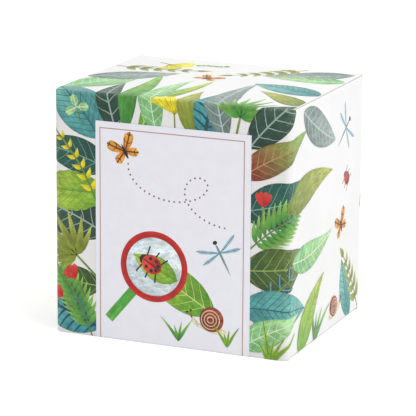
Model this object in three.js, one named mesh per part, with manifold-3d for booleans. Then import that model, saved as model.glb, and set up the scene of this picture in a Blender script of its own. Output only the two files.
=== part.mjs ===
// Bug box: a printed folding carton with a tuck-in lid, holding a clear jar viewer
// whose lid carries a fixed lens and a second lens that flips up on a pin.
// Millimetres, +Z up. The origin is the middle of the base on the floor; the front faces -Y.

import * as THREE from 'three';
import { mergeVertices } from 'three/addons/utils/BufferGeometryUtils.js';
import Module from 'manifold-3d';

const wasm = await Module();
wasm.setup();

// Carton
const CARTON_WIDTH = 104;
const CARTON_DEPTH = 85;
const CARTON_HEIGHT = 103;
const BOARD = 0.5; // board thickness
const LAYER_GAP = 0.3; // air between layers of board that slide past each other
const WALL_FOLD_RADIUS = 2.6; // outer radius of the soft upright folds
const CREASE_RADIUS = 0.9; // outer radius of the crisp folds along the top and bottom edges
const GLUE_FLAP_WIDTH = 14;
const GLUE_FLAP_TAPER = 5; // height lost at each end of the glue flap over its width
const BACK_EDGE_INSET = 1.2; // raw edge of the back wall, in from the left face
const THUMB_NOTCH_RADIUS = 9;

// Lid, its tuck and the dust flaps
const LID_SIDE_INSET = 0.45; // raw side edges of the lid, in from the side faces
const TUCK_DEPTH = 16;
const TUCK_LEAN = 11; // degrees that the tuck leans in from upright
const TUCK_CORNER_RADIUS = 10;
const TUCK_SIDE_INSET = 3.4;
const SLIT_WIDTH = 0.4; // slit that parts each lid ear from the tuck
const EAR_CORNER_RADIUS = 0.6;
const DUST_FLAP_DEPTH = 36;
const DUST_FLAP_FRONT_TAPER = 0.6; // width lost at the front per mm of depth
const DUST_FLAP_SHOULDER = 7;
const DUST_FLAP_NOTCH = 3;
const DUST_FLAP_BACK_TAPER = 3;
const DUST_FLAP_CORNER_RADIUS = 4;

// Self-locking bottom
const BOTTOM_LOCK_STEP = 9; // how far each half of the bottom reaches past the middle
const BOTTOM_LOCK_SHARE = 34; // width of the two locking tongues
const SIDE_BOTTOM_FLAP_TIP = 16.4; // tips of the side flaps, from the middle, under the jar's foot
const SIDE_BOTTOM_FLAP_TAPER = 9;

// Card cradle round the jar
const CRADLE_HEIGHT = 36;
const CRADLE_SIDE_GAP = 4; // from the side faces to the cradle's legs
const CRADLE_END_GAP = 6.5; // from the front and back faces to the cradle's edges
const CRADLE_FOLD_RADIUS = 1.5;
const CRADLE_HOLE_CLEARANCE = 0.4;

// Jar
const JAR_RADIUS = 27;
const JAR_WALL = 1.8;
const JAR_FLOOR = 2;
const JAR_BODY_HEIGHT = 47; // from the base to the shoulder under the lid
const JAR_NECK_HEIGHT = 8;
const JAR_NECK_STEP = 1.4; // how far the neck is set in from the body
const JAR_FOOT_RECESS = 0.6;
const GRID_DISC_THICKNESS = 0.6;
const GRID_PITCH = 5;
const GRID_GROOVE_WIDTH = 0.4;
const GRID_GROOVE_DEPTH = 0.25;
const GRID_MARGIN = 1.2; // plain rim left round the grid

// Jar lid with its bayonet
const LID_WALL = 1.8;
const LID_TOP_THICKNESS = 2;
const LID_EDGE_RADIUS = 1.2;
const LUG_COUNT = 3;
const LUG_ANGLE = 26; // degrees
const LUG_HEIGHT = 1.6;
const RUNNING_CLEARANCE = 0.35;
const GRIP_RIB_COUNT = 30;
const GRIP_RIB_RADIUS = 0.8;
const AIR_HOLE_COUNT = 9;
const AIR_HOLE_RADIUS = 1.1;

// Lenses and the flip-up arm
const LID_LENS_RADIUS = 14.2;
const LID_LENS_EDGE = 1.2;
const LID_LENS_CROWN = 1.1;
const LENS_SEAT_WIDTH = 1;
const LENS_RIM_WIDTH = 1.8;
const LENS_RIM_HEIGHT = 0.6;
const FLIP_RING_RADIUS = 12.2;
const FLIP_RING_WIDTH = 2.2;
const FLIP_RING_THICKNESS = 3.2;
const FLIP_LENS_EDGE = 1.4;
const FLIP_LENS_CROWN = 1;
const FLIP_ARM_WIDTH = 6.4;
const FLIP_TAB_WIDTH = 7;
const FLIP_TAB_LENGTH = 1.8;
const HINGE_INSET = 5.45; // hinge pin, in from the lid's edge
const HINGE_LIFT = 3.6; // pin height over the lid's top
const BARREL_RADIUS = 2.3;
const PIN_RADIUS = 1;
const PIN_CLEARANCE = 0.25;
const PIN_HEAD_RADIUS = 1.7;
const PIN_HEAD_LENGTH = 0.8;
const EAR_WIDTH = 2.2;
const EAR_RADIUS = 2.6;

const LENS_CLEARANCE = 0.3;
const ROUND_SEGMENTS = 60;
const FOLD_SEGMENTS = 6;
const MERGE = 0.02; // overlap where two shapes are fused into one piece

// Levels and planes that follow from the sizes above
const halfWidth = CARTON_WIDTH / 2;
const halfDepth = CARTON_DEPTH / 2;
const layerStep = BOARD + LAYER_GAP;
const innerTop = CARTON_HEIGHT - layerStep;
const lidHingeY = -halfDepth + CREASE_RADIUS;
const tuckFaceY = halfDepth - 2 * BOARD - LAYER_GAP;
const tuckTopZ = CARTON_HEIGHT - CREASE_RADIUS;
const floorTop = layerStep + BOARD;
const jarShoulderZ = floorTop + JAR_BODY_HEIGHT;
const jarRimZ = jarShoulderZ + JAR_NECK_HEIGHT;
const neckRadius = JAR_RADIUS - JAR_NECK_STEP;
const lugRadius = neckRadius + 1.1;
const skirtInnerRadius = lugRadius + RUNNING_CLEARANCE;
const lidRadius = skirtInnerRadius + LID_WALL;
const lidUnderZ = jarRimZ + RUNNING_CLEARANCE;
const lidTopZ = lidUnderZ + LID_TOP_THICKNESS;
const lidBottomZ = jarShoulderZ + RUNNING_CLEARANCE;
const hingeY = lidRadius - HINGE_INSET;
const hingeZ = lidTopZ + HINGE_LIFT;

const radians = THREE.MathUtils.degToRad;

// Shape helpers

function signedVolume(positions, triangles) {
  const a = new THREE.Vector3();
  const b = new THREE.Vector3();
  const c = new THREE.Vector3();
  let total = 0;
  for (let i = 0; i < triangles.length; i += 3) {
    a.fromArray(positions, 3 * triangles[i]);
    b.fromArray(positions, 3 * triangles[i + 1]);
    c.fromArray(positions, 3 * triangles[i + 2]);
    total += a.dot(b.cross(c)) / 6;
  }
  return total;
}

// Closed solid from a three.js geometry, with its faces turned outward.
function solidFrom(geometry) {
  const bare = new THREE.BufferGeometry();
  bare.setAttribute('position', geometry.getAttribute('position'));
  bare.setIndex(geometry.index);
  const merged = mergeVertices(bare, 1e-5);
  const positions = merged.getAttribute('position').array;
  const all = merged.index.array;
  const kept = [];
  for (let i = 0; i < all.length; i += 3) {
    const [p, q, r] = [all[i], all[i + 1], all[i + 2]];
    if (p !== q && q !== r && r !== p) kept.push(p, q, r);
  }
  if (signedVolume(positions, kept) < 0) kept.reverse();
  return new wasm.Manifold(new wasm.Mesh({
    numProp: 3,
    vertProperties: new Float32Array(positions),
    triVerts: new Uint32Array(kept),
  }));
}

function geometryFrom(solid) {
  const mesh = solid.getMesh();
  const geometry = new THREE.BufferGeometry();
  geometry.setAttribute('position', new THREE.BufferAttribute(mesh.vertProperties, 3));
  geometry.setIndex(new THREE.BufferAttribute(mesh.triVerts, 1));
  geometry.computeVertexNormals();
  return geometry;
}

function polygon(points) {
  return new THREE.Shape(points.map(([x, y]) => new THREE.Vector2(x, y)));
}

// Outline whose corners are given as [x, y, radius].
function roundedOutline(corners) {
  const shape = new THREE.Shape();
  corners.forEach(([x, y, radius], i) => {
    const here = new THREE.Vector2(x, y);
    const before = new THREE.Vector2(...corners.at(i - 1));
    const after = new THREE.Vector2(...corners[(i + 1) % corners.length]);
    const into = before.sub(here).normalize();
    const out = after.sub(here).normalize();
    const half = Math.acos(THREE.MathUtils.clamp(into.dot(out), -1, 1)) / 2;
    const reach = radius / Math.tan(half);
    const start = here.clone().addScaledVector(into, reach);
    const end = here.clone().addScaledVector(out, reach);
    if (i === 0) shape.moveTo(start.x, start.y);
    else shape.lineTo(start.x, start.y);
    if (radius > 0) shape.quadraticCurveTo(x, y, end.x, end.y);
  });
  shape.closePath();
  return shape;
}

function prism(shape, low, high) {
  const geometry = new THREE.ExtrudeGeometry(shape, {
    depth: high - low,
    bevelEnabled: false,
    curveSegments: FOLD_SEGMENTS,
  });
  return solidFrom(geometry.translate(0, 0, low));
}

// Prism whose outline is drawn in Y and Z and which runs along X.
function prismAlongX(points, from, to) {
  const turn = new THREE.Matrix4().makeBasis(
    new THREE.Vector3(0, 1, 0), new THREE.Vector3(0, 0, 1), new THREE.Vector3(1, 0, 0));
  const geometry = new THREE.ExtrudeGeometry(polygon(points), {
    depth: to - from,
    bevelEnabled: false,
  });
  return solidFrom(geometry.applyMatrix4(turn).translate(from, 0, 0));
}

// Prism whose outline is drawn in X and Z and which runs along Y.
function prismAlongY(points, from, to) {
  const turn = new THREE.Matrix4().makeBasis(
    new THREE.Vector3(1, 0, 0), new THREE.Vector3(0, 0, 1), new THREE.Vector3(0, -1, 0));
  const geometry = new THREE.ExtrudeGeometry(polygon(points), {
    depth: to - from,
    bevelEnabled: false,
  });
  return solidFrom(geometry.applyMatrix4(turn).translate(0, to, 0));
}

// Solid of revolution about Z from a profile of [radius, height] points.
function revolve(profile, segments = ROUND_SEGMENTS) {
  const closed = [...profile, profile[0]].map(([r, z]) => new THREE.Vector2(r, z));
  return solidFrom(new THREE.LatheGeometry(closed, segments).rotateX(Math.PI / 2));
}

function cylinder(radius, low, high, segments = 24) {
  const geometry = new THREE.CylinderGeometry(radius, radius, high - low, segments);
  return solidFrom(geometry.rotateX(Math.PI / 2).translate(0, 0, (low + high) / 2));
}

function cylinderAlongX(radius, from, to, segments = 24) {
  const geometry = new THREE.CylinderGeometry(radius, radius, to - from, segments);
  return solidFrom(geometry.rotateZ(Math.PI / 2).translate((from + to) / 2, 0, 0));
}

function block(x0, x1, y0, y1, z0, z1) {
  const geometry = new THREE.BoxGeometry(x1 - x0, y1 - y0, z1 - z0);
  return solidFrom(geometry.translate((x0 + x1) / 2, (y0 + y1) / 2, (z0 + z1) / 2));
}

// Part of a ring between two radii, centred on an angle in degrees.
function ringSector(inner, outer, middle, spread, low, high) {
  const start = radians(middle - spread / 2);
  const end = radians(middle + spread / 2);
  const shape = new THREE.Shape();
  shape.absarc(0, 0, outer, start, end, false);
  shape.absarc(0, 0, inner, end, start, true);
  return prism(shape, low, high);
}

// Quarter circle as [across, up] points about a centre, from one angle to another in degrees.
function arcPoints(centreX, centreY, radius, from, to, segments = FOLD_SEGMENTS) {
  return Array.from({ length: segments + 1 }, (_, i) => {
    const angle = radians(from + (to - from) * i / segments);
    return [centreX + radius * Math.cos(angle), centreY + radius * Math.sin(angle)];
  });
}

// Section of a wall as [inward, height] points; a crease turns its end inward by a quarter round.
function wallSection(bottom, top, creasedBottom, creasedTop) {
  const face = (radius, plain) => [
    ...(creasedBottom
      ? arcPoints(CREASE_RADIUS, bottom + CREASE_RADIUS, radius, 270, 180)
      : [[plain, bottom]]),
    ...(creasedTop
      ? arcPoints(CREASE_RADIUS, top - CREASE_RADIUS, radius, 180, 90)
      : [[plain, top]]),
  ];
  const outer = face(CREASE_RADIUS, 0);
  const inner = face(CREASE_RADIUS - BOARD, BOARD);
  return [...outer, ...inner.reverse()];
}

// Straight wall facing -Y at a distance from the middle.
function wallStrip(section, faceDistance, from, to) {
  return prismAlongX(section.map(([inward, z]) => [inward - faceDistance, z]), from, to);
}

// Soft upright fold that carries a wall's section round a quarter turn.
function wallFold(section, axisX, axisY) {
  const ring = revolve(section.map(([inward, z]) => [WALL_FOLD_RADIUS - inward, z]), 4 * FOLD_SEGMENTS);
  const reach = 2 * WALL_FOLD_RADIUS;
  const quarter = block(0, reach, -reach, 0, -1, CARTON_HEIGHT + 1);
  return ring.intersect(quarter).translate([axisX, axisY, 0]);
}

// Materials
const finish = (color, roughness, extra = {}) => new THREE.MeshStandardMaterial({
  color, roughness, metalness: 0, ...extra,
});
const printedBoard = finish(0xe2dedc, 0.45);
const plainBoard = finish(0xe9e6e1, 0.75);
const cradleCard = finish(0xd9d2c6, 0.85);
const clearPlastic = finish(0xdfeaf0, 0.08, { transparent: true, opacity: 0.35 });
const lensPlastic = finish(0xe8f1f5, 0.03, { transparent: true, opacity: 0.3 });
const redPlastic = finish(0xd5382f, 0.3);
const greenPlastic = finish(0x5fb236, 0.3);
const whitePlastic = finish(0xf2f2ee, 0.5);
const steel = finish(0xb9bcc0, 0.3, { metalness: 1 });

const bugBox = new THREE.Group();
bugBox.name = 'bug_box';

function piece(name, solid, material) {
  const mesh = new THREE.Mesh(geometryFrom(solid), material);
  mesh.name = name;
  bugBox.add(mesh);
}

// Carton walls: each runs straight and then round the upright fold at its far end.
const straightX = halfWidth - WALL_FOLD_RADIUS;
const straightY = halfDepth - WALL_FOLD_RADIUS;
const frontSection = wallSection(0, CARTON_HEIGHT, true, true);
const sideSection = wallSection(layerStep, innerTop, true, true);
const backSection = wallSection(0, innerTop, true, false);

const frontPanel = wallStrip(frontSection, halfDepth, -straightX, straightX + MERGE)
  .add(wallFold(frontSection, straightX, -straightY));

const rightPanel = wallStrip(sideSection, halfWidth, -straightY, straightY + MERGE)
  .add(wallFold(backSection, straightY, -straightX))
  .rotate([0, 0, 90]);

const backReach = halfWidth - BACK_EDGE_INSET;
const thumbNotch = cylinder(THUMB_NOTCH_RADIUS, -2 * BOARD, 2 * BOARD, 48)
  .rotate([90, 0, 0])
  .translate([0, halfDepth, innerTop]);
const backPanel = wallStrip(backSection, halfDepth, -straightX, straightX)
  .add(block(straightX - MERGE, backReach, -halfDepth, -halfDepth + BOARD, CREASE_RADIUS, innerTop))
  .rotate([0, 0, 180])
  .subtract(thumbNotch);

const glueFoldY = straightY - BOARD;
const leftPanel = wallStrip(sideSection, halfWidth, -glueFoldY, straightY + MERGE)
  .add(wallFold(frontSection, straightY, -straightX))
  .rotate([0, 0, -90]);

// Glue flap: folds on from the left wall and lies against the inside of the back wall.
const glueFace = halfDepth - BOARD;
const glueLow = CREASE_RADIUS + LAYER_GAP;
const glueOutline = roundedOutline([
  [-straightX - MERGE, glueLow, 0],
  [-straightX + GLUE_FLAP_WIDTH, glueLow + GLUE_FLAP_TAPER, 1],
  [-straightX + GLUE_FLAP_WIDTH, innerTop - GLUE_FLAP_TAPER, 1],
  [-straightX - MERGE, innerTop, 0],
]);
const glueFlap = wallFold(backSection, straightX, -glueFoldY)
  .rotate([0, 0, 180])
  .add(prism(glueOutline, 0, BOARD).rotate([90, 0, 0]).translate([0, glueFace, 0]));

piece('front_panel', frontPanel, printedBoard);
piece('right_panel', rightPanel, printedBoard);
piece('back_panel', backPanel, printedBoard);
piece('left_panel', leftPanel, printedBoard);
piece('glue_flap', glueFlap, plainBoard);

// Corners of flat flaps in front, rounded to lie inside the turned-in edge of the upright folds.
const foldCornerRadius = WALL_FOLD_RADIUS - CREASE_RADIUS - LAYER_GAP;
const foldCorner = (axisY) => arcPoints(straightX, -axisY, foldCornerRadius, -90, 0)
  .map(([x, y]) => [x, y, 0]);
const mirrored = (outline) => outline.map(([x, y, r]) => [-x, y, r]).reverse();

// Bottom: front and back halves lock tongue beside tongue, over them the two side flaps.
const bottomStart = -halfDepth + CREASE_RADIUS;
const bottomHalf = halfWidth - CREASE_RADIUS - LAYER_GAP;
const bottomCorner = foldCorner(glueFoldY); // clear of the glue flap's fold, which lies further in
const tongueIn = straightX - BOTTOM_LOCK_SHARE;
const halfBottom = roundedOutline([
  [-straightX, bottomStart, 0],
  [straightX, bottomStart, 0],
  ...bottomCorner,
  [bottomHalf, -BOTTOM_LOCK_STEP - LAYER_GAP, 1],
  [tongueIn, -BOTTOM_LOCK_STEP - LAYER_GAP, 2],
  [0, -LAYER_GAP, 0],
  [-tongueIn, BOTTOM_LOCK_STEP - LAYER_GAP, 2],
  [-bottomHalf, BOTTOM_LOCK_STEP - LAYER_GAP, 4],
  ...mirrored(bottomCorner),
]);
const bottomFront = prism(halfBottom, 0, BOARD);
piece('bottom_front_flap', bottomFront, printedBoard);
piece('bottom_back_flap', bottomFront.rotate([0, 0, 180]), printedBoard);

const sideFlapStart = halfWidth - CREASE_RADIUS;
const sideFlapHalf = straightY - 1;
const sideBottom = prism(roundedOutline([
  [sideFlapStart, -sideFlapHalf, 0],
  [sideFlapStart, sideFlapHalf, 0],
  [SIDE_BOTTOM_FLAP_TIP, sideFlapHalf - SIDE_BOTTOM_FLAP_TAPER, 3],
  [SIDE_BOTTOM_FLAP_TIP, -sideFlapHalf + SIDE_BOTTOM_FLAP_TAPER, 3],
]), layerStep, floorTop);
piece('bottom_right_flap', sideBottom, plainBoard);
piece('bottom_left_flap', sideBottom.rotate([0, 0, 180]), plainBoard);

// Lid: a plate hinged at the front crease, with two slit ears and a rounded fold to the tuck.
const lidHalf = halfWidth - LID_SIDE_INSET;
const lidCorner = foldCorner(straightY);
const lidNotchX = straightX + foldCornerRadius;
const lidNotchY = -straightY + LAYER_GAP;
const lidFoldY = tuckFaceY - CREASE_RADIUS;
const tuckHalf = halfWidth - TUCK_SIDE_INSET;
const earInner = tuckHalf + SLIT_WIDTH;
const lidOutline = roundedOutline([
  ...lidCorner,
  [lidNotchX, lidNotchY, 0],
  [lidHalf, lidNotchY, 0.4],
  [lidHalf, tuckFaceY, EAR_CORNER_RADIUS],
  [earInner, tuckFaceY, 0.3],
  [earInner, lidFoldY, 0],
  [-earInner, lidFoldY, 0],
  [-earInner, tuckFaceY, 0.3],
  [-lidHalf, tuckFaceY, EAR_CORNER_RADIUS],
  [-lidHalf, lidNotchY, 0.4],
  [-lidNotchX, lidNotchY, 0],
  ...mirrored(lidCorner),
]);
const lidFoldSection = [
  [lidFoldY - MERGE, CARTON_HEIGHT],
  ...arcPoints(lidFoldY, tuckTopZ, CREASE_RADIUS, 90, 0),
  ...arcPoints(lidFoldY, tuckTopZ, CREASE_RADIUS - BOARD, 0, 90),
  [lidFoldY - MERGE, CARTON_HEIGHT - BOARD],
];
const lidPanel = prism(lidOutline, CARTON_HEIGHT - BOARD, CARTON_HEIGHT)
  .add(prismAlongX(lidFoldSection, -tuckHalf, tuckHalf));
piece('lid_panel', lidPanel, printedBoard);

const tuckOutline = roundedOutline([
  [-tuckHalf + 0.4, -LAYER_GAP, 0],
  [-tuckHalf + 0.4, -TUCK_DEPTH, TUCK_CORNER_RADIUS],
  [tuckHalf - 0.4, -TUCK_DEPTH, TUCK_CORNER_RADIUS],
  [tuckHalf - 0.4, -LAYER_GAP, 0],
]);
const lidTuck = prism(tuckOutline, 0, BOARD)
  .rotate([90, 0, 0])
  .rotate([-TUCK_LEAN, 0, 0])
  .translate([0, tuckFaceY, tuckTopZ]);
piece('lid_tuck', lidTuck, plainBoard);

// Dust flaps: tapered in front so that the rising lid clears them, notched beside the tuck.
const dustHingeX = halfWidth - CREASE_RADIUS;
const dustStart = dustHingeX - LAYER_GAP;
const dustTip = dustHingeX - DUST_FLAP_DEPTH;
const dustFront = -straightY + LAYER_GAP;
const dustBack = Math.min(lidFoldY, glueFoldY) - LAYER_GAP;
const notchX = dustStart - DUST_FLAP_SHOULDER;
const dustFlap = prism(roundedOutline([
  [dustStart, dustFront, 0],
  [dustStart, dustBack, 0],
  [notchX, dustBack, 1],
  [notchX - DUST_FLAP_NOTCH, dustBack - DUST_FLAP_NOTCH, 1],
  [dustTip, dustBack - DUST_FLAP_NOTCH - DUST_FLAP_BACK_TAPER, DUST_FLAP_CORNER_RADIUS],
  [dustTip, dustFront + DUST_FLAP_FRONT_TAPER * DUST_FLAP_DEPTH, DUST_FLAP_CORNER_RADIUS],
]), innerTop - BOARD, innerTop);
piece('dust_flap_right', dustFlap, plainBoard);
piece('dust_flap_left', dustFlap.mirror([1, 0, 0]), plainBoard);

// Cradle: one card bent down at both ends, with a round hole that steadies the jar.
const cradleHalf = halfWidth - CRADLE_SIDE_GAP;
const cradleReach = halfDepth - CRADLE_END_GAP;
const cradleTop = floorTop + CRADLE_HEIGHT;
const cradleFace = (radius, edge) => [
  [cradleHalf - edge, floorTop],
  ...arcPoints(cradleHalf - CRADLE_FOLD_RADIUS, cradleTop - CRADLE_FOLD_RADIUS, radius, 0, 90),
  ...arcPoints(CRADLE_FOLD_RADIUS - cradleHalf, cradleTop - CRADLE_FOLD_RADIUS, radius, 90, 180),
  [edge - cradleHalf, floorTop],
];
const cradleSection = [
  ...cradleFace(CRADLE_FOLD_RADIUS, 0),
  ...cradleFace(CRADLE_FOLD_RADIUS - BOARD, BOARD).reverse(),
];
const cradleHole = cylinder(JAR_RADIUS + CRADLE_HOLE_CLEARANCE, cradleTop - 2, cradleTop + 1, ROUND_SEGMENTS);
const cradle = prismAlongY(cradleSection, -cradleReach, cradleReach).subtract(cradleHole);
piece('cradle', cradle, cradleCard);

// Jar: turned profile with a foot ring, a shoulder and a neck that carries the bayonet lugs.
const chamberRadius = neckRadius - JAR_WALL;
const chamberFloor = floorTop + JAR_FLOOR;
const jarProfile = [
  [0, floorTop + JAR_FOOT_RECESS],
  [JAR_RADIUS - 3, floorTop + JAR_FOOT_RECESS],
  [JAR_RADIUS - 2.4, floorTop],
  [JAR_RADIUS - 0.8, floorTop],
  [JAR_RADIUS, floorTop + 0.8],
  [JAR_RADIUS, jarShoulderZ - 0.6],
  [JAR_RADIUS - 0.6, jarShoulderZ],
  [neckRadius, jarShoulderZ],
  [neckRadius, jarRimZ - 0.4],
  [neckRadius - 0.4, jarRimZ],
  [chamberRadius + 0.4, jarRimZ],
  [chamberRadius, jarRimZ - 0.4],
  [chamberRadius, chamberFloor + 1],
  [chamberRadius - 1, chamberFloor],
  [0, chamberFloor],
];
const lugTop = jarRimZ - 0.8;
const lugBottom = lugTop - LUG_HEIGHT;
let jar = revolve(jarProfile);
for (let i = 0; i < LUG_COUNT; i += 1) {
  const middle = 90 + 360 * i / LUG_COUNT;
  jar = jar.add(ringSector(neckRadius - 0.5, lugRadius, middle, LUG_ANGLE, lugBottom, lugTop));
}
piece('jar', jar, clearPlastic);

// Measuring disc on the jar's floor: raised square tiles part the grid's shallow grooves.
const discRadius = chamberRadius - 1 - LENS_CLEARANCE;
const discTop = chamberFloor + GRID_DISC_THICKNESS;
const grooveFloor = discTop - GRID_GROOVE_DEPTH;
const gridRadius = discRadius - GRID_MARGIN;
const cells = Math.floor(gridRadius / GRID_PITCH);
let gridDisc = cylinder(discRadius, chamberFloor, grooveFloor, ROUND_SEGMENTS);
for (let i = -cells; i < cells; i += 1) {
  for (let j = -cells; j < cells; j += 1) {
    const farX = GRID_PITCH * Math.max(-i, i + 1);
    const farY = GRID_PITCH * Math.max(-j, j + 1);
    if (Math.hypot(farX, farY) > gridRadius) continue;
    const x = i * GRID_PITCH + GRID_GROOVE_WIDTH / 2;
    const y = j * GRID_PITCH + GRID_GROOVE_WIDTH / 2;
    const side = GRID_PITCH - GRID_GROOVE_WIDTH;
    gridDisc = gridDisc.add(block(x, x + side, y, y + side, grooveFloor - MERGE, discTop));
  }
}
piece('grid_disc', gridDisc, whitePlastic);

// Jar lid: turned cap with a lens seat, grip ribs, air holes, bayonet lugs and two hinge ears.
const seatRadius = LID_LENS_RADIUS + LENS_CLEARANCE;
const seatZ = lidTopZ - LID_LENS_EDGE;
const rimRadius = seatRadius + LENS_RIM_WIDTH;
const lidProfile = [
  [seatRadius - LENS_SEAT_WIDTH, lidUnderZ],
  [skirtInnerRadius, lidUnderZ],
  [skirtInnerRadius, lidBottomZ],
  [lidRadius, lidBottomZ],
  ...arcPoints(lidRadius - LID_EDGE_RADIUS, lidTopZ - LID_EDGE_RADIUS, LID_EDGE_RADIUS, 0, 90),
  [rimRadius, lidTopZ],
  [rimRadius - 0.4, lidTopZ + LENS_RIM_HEIGHT],
  [seatRadius, lidTopZ + LENS_RIM_HEIGHT],
  [seatRadius, seatZ],
  [seatRadius - LENS_SEAT_WIDTH, seatZ],
];
let jarLid = revolve(lidProfile);
for (let i = 0; i < GRIP_RIB_COUNT; i += 1) {
  const angle = 2 * Math.PI * (i + 0.5) / GRIP_RIB_COUNT;
  const rib = cylinder(GRIP_RIB_RADIUS, lidBottomZ + 1, lidTopZ - 1.6, 8);
  jarLid = jarLid.add(rib.translate([lidRadius * Math.cos(angle), lidRadius * Math.sin(angle), 0]));
}
const airHoleRing = (rimRadius + skirtInnerRadius) / 2;
for (let i = 0; i < AIR_HOLE_COUNT; i += 1) {
  const angle = radians(90 + 360 * (i + 1) / (AIR_HOLE_COUNT + 1));
  const hole = cylinder(AIR_HOLE_RADIUS, lidUnderZ - 1, lidTopZ + 1, 16);
  jarLid = jarLid.subtract(hole.translate([airHoleRing * Math.cos(angle), airHoleRing * Math.sin(angle), 0]));
}
const lidLugTop = lugBottom - RUNNING_CLEARANCE;
for (let i = 0; i < LUG_COUNT; i += 1) {
  const middle = 90 + 360 * i / LUG_COUNT;
  const inner = neckRadius + RUNNING_CLEARANCE;
  jarLid = jarLid.add(
    ringSector(inner, skirtInnerRadius + 0.5, middle, LUG_ANGLE, lidLugTop - LUG_HEIGHT, lidLugTop));
}
const barrelHalf = FLIP_ARM_WIDTH / 2;
const earInnerX = barrelHalf + RUNNING_CLEARANCE;
const earOuterX = earInnerX + EAR_WIDTH;
const boreRadius = PIN_RADIUS + PIN_CLEARANCE;
const earSection = [
  [hingeY - EAR_RADIUS - 0.8, lidTopZ - 0.5],
  [hingeY + EAR_RADIUS + 0.6, lidTopZ - 0.5],
  ...arcPoints(hingeY, hingeZ, EAR_RADIUS, 0, 180, 12),
];
for (const side of [-1, 1]) {
  const from = side < 0 ? -earOuterX : earInnerX;
  jarLid = jarLid.add(prismAlongX(earSection, from, from + EAR_WIDTH));
}
const pinBore = cylinderAlongX(boreRadius, -earOuterX - 1, earOuterX + 1)
  .translate([0, hingeY, hingeZ]);
jarLid = jarLid.subtract(pinBore);
piece('jar_lid', jarLid, redPlastic);

// Plano-convex lens dropped into the lid's seat.
function lensDisc(radius, edge, crown, bothSides) {
  const steps = 5;
  const dome = (sign, base) => Array.from({ length: steps + 1 }, (_, i) => {
    const across = radius * i / steps;
    return [across, base + sign * crown * (1 - (across / radius) ** 2)];
  });
  const upper = dome(1, edge / 2).reverse();
  const lower = bothSides ? dome(-1, -edge / 2) : [[0, -edge / 2], [radius, -edge / 2]];
  return revolve([...lower, ...upper]);
}
const lidLens = lensDisc(LID_LENS_RADIUS, LID_LENS_EDGE, LID_LENS_CROWN, false)
  .translate([0, 0, seatZ + LID_LENS_EDGE / 2]);
piece('lid_lens', lidLens, lensPlastic);

// Flip-up lens: ring, arm and hinge barrel in one moulding, with a finger tab at the far side.
const ringInner = FLIP_RING_RADIUS - FLIP_RING_WIDTH;
const ringHalf = FLIP_RING_THICKNESS / 2;
const ringChamfer = 0.6;
const flipRingSolid = revolve([
  [ringInner, -ringHalf + ringChamfer],
  [ringInner + ringChamfer, -ringHalf],
  [FLIP_RING_RADIUS - ringChamfer, -ringHalf],
  [FLIP_RING_RADIUS, -ringHalf + ringChamfer],
  [FLIP_RING_RADIUS, ringHalf - ringChamfer],
  [FLIP_RING_RADIUS - ringChamfer, ringHalf],
  [ringInner + ringChamfer, ringHalf],
  [ringInner, ringHalf - ringChamfer],
]);
const armHalf = ringHalf - 0.3;
const arm = block(-barrelHalf, barrelHalf, ringInner + FLIP_RING_WIDTH / 2, hingeY, -armHalf, armHalf);
const tab = prism(roundedOutline([
  [-FLIP_TAB_WIDTH / 2, -FLIP_RING_RADIUS + FLIP_RING_WIDTH / 2, 0],
  [-FLIP_TAB_WIDTH / 2, -FLIP_RING_RADIUS - FLIP_TAB_LENGTH, 1.4],
  [FLIP_TAB_WIDTH / 2, -FLIP_RING_RADIUS - FLIP_TAB_LENGTH, 1.4],
  [FLIP_TAB_WIDTH / 2, -FLIP_RING_RADIUS + FLIP_RING_WIDTH / 2, 0],
]), -armHalf + 0.3, armHalf - 0.3);
const barrel = cylinderAlongX(BARREL_RADIUS, -barrelHalf, barrelHalf, 32).translate([0, hingeY, 0]);
const flipRing = flipRingSolid
  .add(arm)
  .add(tab)
  .add(barrel)
  .translate([0, 0, hingeZ])
  .subtract(pinBore);
piece('flip_ring', flipRing, greenPlastic);

const flipLens = lensDisc(ringInner - LENS_CLEARANCE, FLIP_LENS_EDGE, FLIP_LENS_CROWN, true)
  .translate([0, 0, hingeZ]);
piece('flip_lens', flipLens, lensPlastic);

// Hinge pin with a small head at each end.
const pinEnd = earOuterX + LENS_CLEARANCE;
const pin = cylinderAlongX(PIN_RADIUS, -pinEnd - MERGE, pinEnd + MERGE)
  .add(cylinderAlongX(PIN_HEAD_RADIUS, pinEnd, pinEnd + PIN_HEAD_LENGTH))
  .add(cylinderAlongX(PIN_HEAD_RADIUS, -pinEnd - PIN_HEAD_LENGTH, -pinEnd))
  .translate([0, hingeY, hingeZ]);
piece('hinge_pin', pin, steel);

export default bugBox;
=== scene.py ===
"""Bug box: the looks of a printed folding carton and of the insect viewer packed in it.

Lengths are in millimetres, turned to metres by MM where Blender takes them. The print is drawn on the
carton's flat blank, where s runs round the walls from the middle of the front and v runs up from the
base and on over the lid, and is then folded onto the board as thin layers of ink.
"""
from cmath import phase, rect
from collections import defaultdict, namedtuple
from functools import partialmethod
from math import cos, degrees, dist, exp, pi, radians, sin, sqrt

import bpy
from mathutils import Matrix, Vector


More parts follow.
